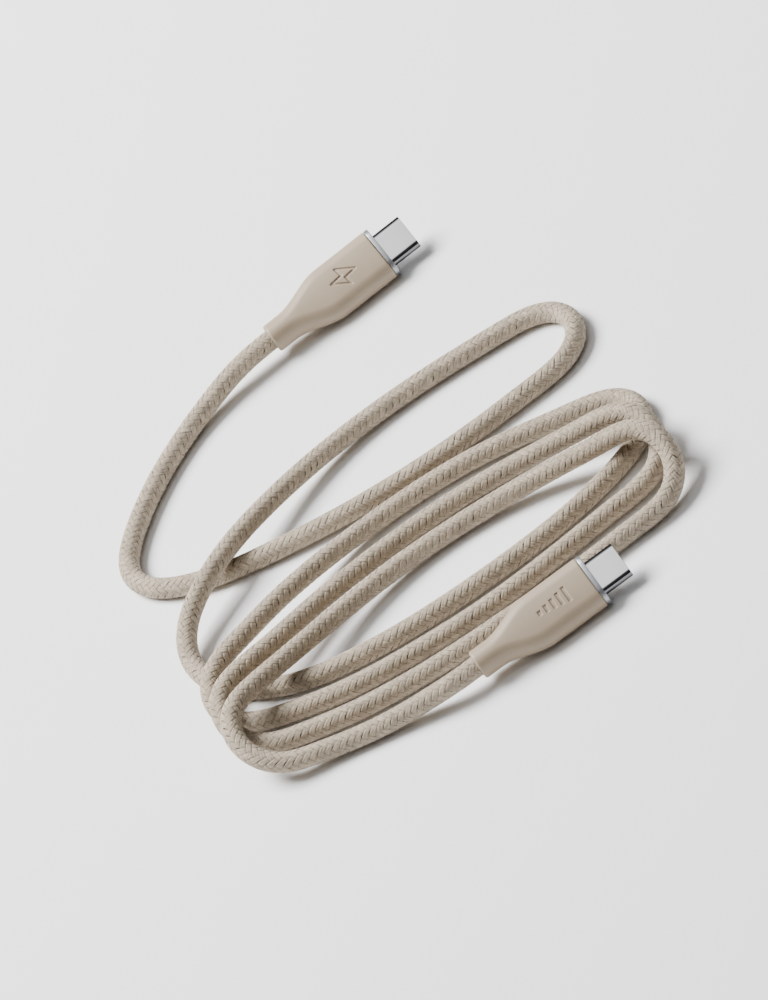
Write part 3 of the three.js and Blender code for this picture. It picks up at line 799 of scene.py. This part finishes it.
def make_plug(letter, looks):
    boot = boot_piece(letter, looks["boot"])
    inset, play = COLLAR_INSET, COLLAR_PLAY
    collar_outside = (BOOT_WIDTH - 2 * inset, BOOT_THICKNESS - 2 * inset, BOOT_CORNER - inset)
    collar_hole = (SHELL_WIDTH + 2 * play, SHELL_HEIGHT + 2 * play, COLLAR_HOLE_CORNER)
    collar = ring_piece("collar", letter, collar_outside, collar_hole,
                        COLLAR_BACK - COLLAR_LAP, COLLAR_FRONT, COLLAR_SOFTEN, looks["collar"],
                        crown=True)
    wall, half_height = SHELL_WALL, SHELL_HEIGHT / 2
    shell_outside = (SHELL_WIDTH, SHELL_HEIGHT, half_height - SHELL_FLAT)
    shell_hole = (SHELL_WIDTH - 2 * wall, SHELL_HEIGHT - 2 * wall, half_height - wall - SHELL_FLAT)
    shell = ring_piece("shell", letter, shell_outside, shell_hole,
                       SHELL_BACK, SHELL_FRONT, SHELL_SOFTEN, looks["shell"])
    paint_dark_reflection_on_sides(shell, letter)
    for piece, node in ((boot, "boot"), (collar, "collar"), (shell, "shell")):
        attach(piece, "root")
        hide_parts(f"plug_{letter}_{node}")
    return [boot, collar, shell]


def dress_cad_nodes(looks):
    """The CAD nodes that stay on show or inside get their finished materials."""
    words = {
        "insert": "dark", "housing": "dark", "contacts": "gold", "latch_plate": "steel",
        "paddle_card": "card", "crimp_ferrule": "steel", "inner_mould": "mould",
        "ground_spring": "steel", "shield_can": "steel",
    }
    for name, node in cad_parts.items():
        for word, look in words.items():
            if word in name:
                node.data.materials.clear()
                node.data.materials.append(looks[look])


# ---------- floor and light, in metres ----------
FLOOR_HALF_SIZE = 3.0
FLOOR_GREY = 0.90
FLOOR_GRAIN = 0.005
KEY_PLACE = Vector((-0.52, 0.60, 1.00))
KEY_SIZE = 0.7
KEY_POWER = 60
SKY_STRENGTH = 1.6
SKY_STOPS = ((0.25, 0.01), (0.50, 0.07), (0.88, 0.12), (0.97, 1.0))  # (height, grey)


def make_floor():
    look = Look("floor", (FLOOR_GREY,) * 3, 0.9)
    look.shader.inputs["Specular IOR Level"].default_value = 0.1
    grain = look.noise(look.coordinates(), 30, 2)
    greys = grey_stops(0.3, FLOOR_GREY - FLOOR_GRAIN, 0.7, FLOOR_GREY + FLOOR_GRAIN)
    look.link(look.ramp(grain, greys), look.shader.inputs["Base Color"])
    half = FLOOR_HALF_SIZE
    corners = [(-half, -half, 0), (half, -half, 0), (half, half, 0), (-half, half, 0)]
    new_object("floor", corners, [(0, 1, 2, 3)], look.material, smooth=False)


def make_key():
    """A soft square light high above and behind the left of the picture."""
    data = bpy.data.lights.new("key", "AREA")
    data.shape = "SQUARE"
    data.size = KEY_SIZE
    data.energy = KEY_POWER
    light = bpy.data.objects.new("key", data)
    light.location = KEY_PLACE
    light.rotation_euler = (-KEY_PLACE).to_track_quat("-Z", "Y").to_euler()
    bpy.context.collection.objects.link(light)


def make_sky():
    """A grey sky that is bright overhead and dark near the horizon, for the metal to reflect."""
    world = bpy.data.worlds.new("sky")
    world.use_nodes = True
    tree = world.node_tree
    direction = tree.nodes.new("ShaderNodeTexCoord").outputs["Generated"]
    split = tree.nodes.new("ShaderNodeSeparateXYZ")
    tree.links.new(direction, split.inputs["Vector"])
    ramp = tree.nodes.new("ShaderNodeValToRGB")
    elements = ramp.color_ramp.elements
    for element, (height, grey) in zip(elements, (SKY_STOPS[0], SKY_STOPS[-1])):
        element.position = height
        element.color = (grey, grey, grey, 1)
    for height, grey in SKY_STOPS[1:-1]:
        elements.new(height).color = (grey, grey, grey, 1)
    tree.links.new(split.outputs["Z"], ramp.inputs["Fac"])
    background = tree.nodes["Background"]
    tree.links.new(ramp.outputs["Color"], background.inputs["Color"])
    background.inputs["Strength"].default_value = SKY_STRENGTH
    bpy.context.scene.world = world


# ---------- the scene ----------
make_camera()
looks = {
    "braid": braid_material(),
    "core": painted_shade_core_material(),
    "boot": boot_material(),
    "collar": metal_material("collar_metal", (0.36, 0.37, 0.39), 0.42, 3000),
    "shell": shell_material(),
    "steel": metal_material("sheet_steel", (0.60, 0.60, 0.62), 0.35, 1500, (1, 6, 6)),
    "gold": metal_material("gold_plate", (0.83, 0.62, 0.28), 0.25, 2500),
    "copper": metal_material("copper_wire", (0.72, 0.42, 0.27), 0.35, 2500),
    "dark": plastic_material("black_insulator", (0.022, 0.022, 0.024), 0.45),
    "card": plastic_material("circuit_card", (0.03, 0.14, 0.07), 0.4),
    "mould": plastic_material("pale_mould", (0.70, 0.68, 0.63), 0.5),
    "jacket": plastic_material("cord_jacket", (0.16, 0.13, 0.11), 0.6),
}
cord_line, braid, cord_inside = make_cord(looks)
dress_cad_nodes(looks)
make_plug("a", looks)
plug_b = make_plug("b", looks)
make_floor()
make_key()
make_sky()
